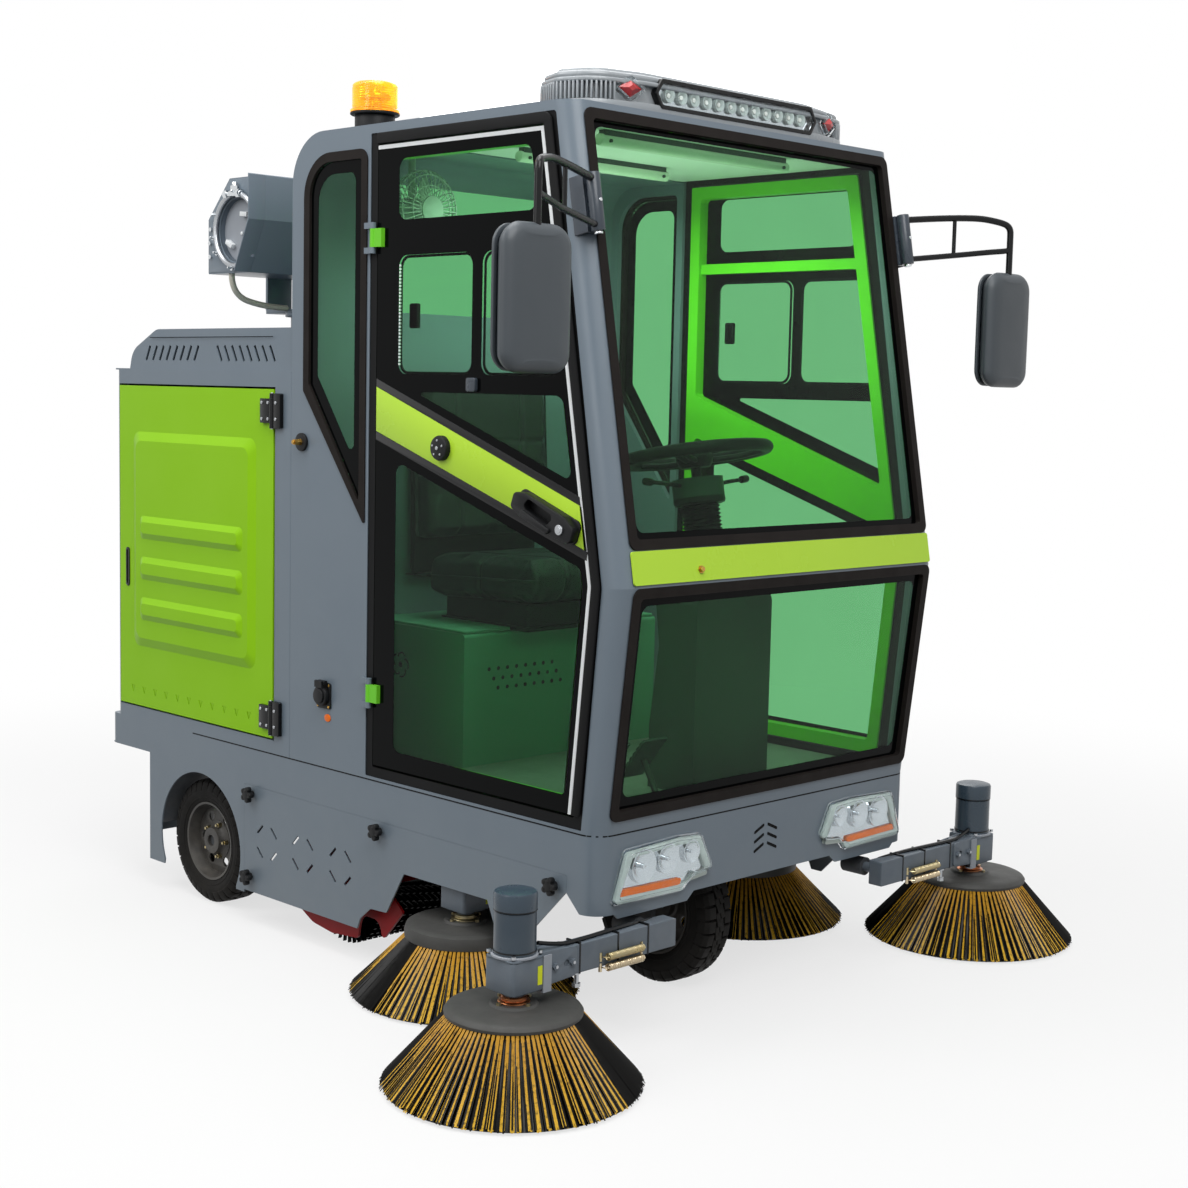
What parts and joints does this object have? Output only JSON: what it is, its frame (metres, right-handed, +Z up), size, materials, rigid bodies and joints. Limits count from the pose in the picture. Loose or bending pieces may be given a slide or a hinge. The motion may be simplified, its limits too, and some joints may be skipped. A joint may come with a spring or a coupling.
{
  "type": "ride-on street sweeper truck",
  "caption": "Compact battery street sweeper with a glazed cab, side brushes on lifting arms, a main roller, a steered front wheel and a fog cannon on the rear hood.",
  "frame": {"origin": "on the ground under the centre of the overall box", "axes": "+X forwards, +Y to the driver's left, +Z up"},
  "size_m": [2.21, 2.124, 2.087],
  "materials": {
    "grey_paint": "satin powder coat",
    "lime_paint": "gloss powder coat",
    "door_green_paint": "gloss powder coat",
    "dark_frame_paint": "satin powder coat",
    "red_paint": "gloss paint",
    "black_seal": "matte rubber",
    "tinted_glass": "clear green tint",
    "black_plastic": "grained",
    "grey_plastic": "satin",
    "dark_green_plastic": "satin",
    "tyre_rubber": "matte",
    "rim_metal": "satin black",
    "seat_vinyl": "matte vinyl",
    "bristle_yellow": "nylon filament",
    "lamp_lens": "clear polycarbonate",
    "beacon_amber": "translucent amber",
    "motor_paint": "satin",
    "brass": "turned",
    "white_plastic": "moulded",
    "hose_rubber": "smooth"
  },
  "bodies": {
    "chassis": {"frame_rails": "dark_frame_paint", "cross_members": "dark_frame_paint", "arm_lugs": "dark_frame_paint", "rear_axle": "dark_frame_paint", "front_apron": "grey_paint", "side_panels": "grey_paint", "rear_ledge": "grey_paint", "arch_liners": "grey_paint", "deck_plate": "grey_paint", "side_skirts": "grey_paint", "skirt_knobs": "black_plastic", "rear_body": "grey_paint", "battery_pack": "black_plastic", "hood": "grey_paint", "cab_frame": "grey_paint", "door_seals": "black_seal", "window_gaskets": "black_seal", "windscreens": "tinted_glass", "side_glass": "tinted_glass", "front_band": "lime_paint", "cab_floor": "black_plastic", "light_bar": "grey_plastic", "beacon": "beacon_amber", "headlamps": "lamp_lens", "mirror_arms": "black_plastic", "mirror_heads": "grey_plastic", "side_fittings": "black_plastic", "seat_box": "dark_green_plastic", "seat": "seat_vinyl", "steering_console": "dark_green_plastic", "cabin_fan": "white_plastic", "roller_housing": "red_paint", "cannon_pedestal": "grey_paint"},
    "front_fork": {"steering_fork": "dark_frame_paint"},
    "front_wheel": {"front_tyre": "tyre_rubber", "front_rim": "rim_metal"},
    "steering_wheel": {"steering_wheel": "black_plastic"},
    "main_roller": {"main_roller": "black_plastic"},
    "fog_cannon": {"fog_cannon": "grey_paint", "cannon_hose": "hose_rubber"},
    "rear_wheel_right": {"rear_right_tyre": "tyre_rubber", "rear_right_rim": "rim_metal"},
    "cab_door_right": {"cab_door_right_frame": "door_green_paint", "cab_door_right_glass": "tinted_glass", "cab_door_right_handle": "black_plastic"},
    "service_door_right": {"service_door_right": "lime_paint"},
    "front_arm_right": {"front_arm_right": "motor_paint"},
    "front_brush_right": {"front_brush_right": "bristle_yellow"},
    "mid_arm_right": {"mid_arm_right": "motor_paint"},
    "mid_brush_right": {"mid_brush_right": "bristle_yellow"},
    "rear_wheel_left": {"rear_left_tyre": "tyre_rubber", "rear_left_rim": "rim_metal"},
    "cab_door_left": {"cab_door_left_frame": "door_green_paint", "cab_door_left_glass": "tinted_glass", "cab_door_left_handle": "black_plastic"},
    "service_door_left": {"service_door_left": "lime_paint"},
    "front_arm_left": {"front_arm_left": "motor_paint"},
    "front_brush_left": {"front_brush_left": "bristle_yellow"},
    "mid_arm_left": {"mid_arm_left": "motor_paint"},
    "mid_brush_left": {"mid_brush_left": "bristle_yellow"}
  },
  "joints": [
    {"name": "rear_wheel_right_spin", "type": "hinge", "parent": "chassis", "child": "rear_wheel_right", "pos_m": [-0.665, -0.474, 0.165], "axis": [0, 1, 0], "continuous": true},
    {"name": "cab_door_right_hinge", "type": "hinge", "parent": "chassis", "child": "cab_door_right", "pos_m": [0.057, -0.554, 1.2], "axis": [0, 0, -1], "range_deg": [0, 80]},
    {"name": "service_door_right_hinge", "type": "hinge", "parent": "chassis", "child": "service_door_right", "pos_m": [-0.3355, -0.553, 0.93], "axis": [0, 0, 1], "range_deg": [0, 110]},
    {"name": "front_arm_right_lift", "type": "hinge", "parent": "chassis", "child": "front_arm_right", "pos_m": [0.8, -0.4, 0.236], "axis": [-1, 0, 0], "range_deg": [0, 12]},
    {"name": "mid_arm_right_lift", "type": "hinge", "parent": "chassis", "child": "mid_arm_right", "pos_m": [0.338, -0.15, 0.236], "axis": [-1, 0, 0], "range_deg": [0, 10]},
    {"name": "front_brush_right_spin", "type": "hinge", "parent": "front_arm_right", "child": "front_brush_right", "pos_m": [0.839, -0.796, 0.15], "axis": [0, 0, 1], "continuous": true},
    {"name": "mid_brush_right_spin", "type": "hinge", "parent": "mid_arm_right", "child": "mid_brush_right", "pos_m": [0.338, -0.488, 0.15], "axis": [0, 0, 1], "continuous": true},
    {"name": "rear_wheel_left_spin", "type": "hinge", "parent": "chassis", "child": "rear_wheel_left", "pos_m": [-0.665, 0.474, 0.165], "axis": [0, 1, 0], "continuous": true},
    {"name": "cab_door_left_hinge", "type": "hinge", "parent": "chassis", "child": "cab_door_left", "pos_m": [0.057, 0.554, 1.2], "axis": [0, 0, 1], "range_deg": [0, 80]},
    {"name": "service_door_left_hinge", "type": "hinge", "parent": "chassis", "child": "service_door_left", "pos_m": [-0.3355, 0.553, 0.93], "axis": [0, 0, -1], "range_deg": [0, 110]},
    {"name": "front_arm_left_lift", "type": "hinge", "parent": "chassis", "child": "front_arm_left", "pos_m": [0.8, 0.4, 0.236], "axis": [1, 0, 0], "range_deg": [0, 12]},
    {"name": "mid_arm_left_lift", "type": "hinge", "parent": "chassis", "child": "mid_arm_left", "pos_m": [0.338, 0.15, 0.236], "axis": [1, 0, 0], "range_deg": [0, 10]},
    {"name": "front_brush_left_spin", "type": "hinge", "parent": "front_arm_left", "child": "front_brush_left", "pos_m": [0.839, 0.796, 0.15], "axis": [0, 0, 1], "continuous": true},
    {"name": "mid_brush_left_spin", "type": "hinge", "parent": "mid_arm_left", "child": "mid_brush_left", "pos_m": [0.338, 0.488, 0.15], "axis": [0, 0, 1], "continuous": true},
    {"name": "front_wheel_steer", "type": "hinge", "parent": "chassis", "child": "front_fork", "pos_m": [0.566, -0.07, 0.4], "axis": [0, 0, 1], "range_deg": [-50, 50]},
    {"name": "front_wheel_spin", "type": "hinge", "parent": "front_fork", "child": "front_wheel", "pos_m": [0.566, -0.07, 0.18], "axis": [0, 1, 0], "continuous": true},
    {"name": "steering_wheel_turn", "type": "hinge", "parent": "chassis", "child": "steering_wheel", "pos_m": [0.56, 0, 1.232], "axis": [-0.1878, 0, 0.9822], "range_deg": [-450, 450]},
    {"name": "main_roller_spin", "type": "hinge", "parent": "chassis", "child": "main_roller", "pos_m": [-0.13, 0, 0.143], "axis": [0, 1, 0], "continuous": true},
    {"name": "cannon_pan", "type": "hinge", "parent": "chassis", "child": "fog_cannon", "pos_m": [-0.674, -0.2, 1.56], "axis": [0, 0, 1], "range_deg": [-90, 90]}
  ],
  "couplings": [
    {"joint": "steering_wheel_turn", "follows": "front_wheel_steer", "ratio": 9}
  ]
}
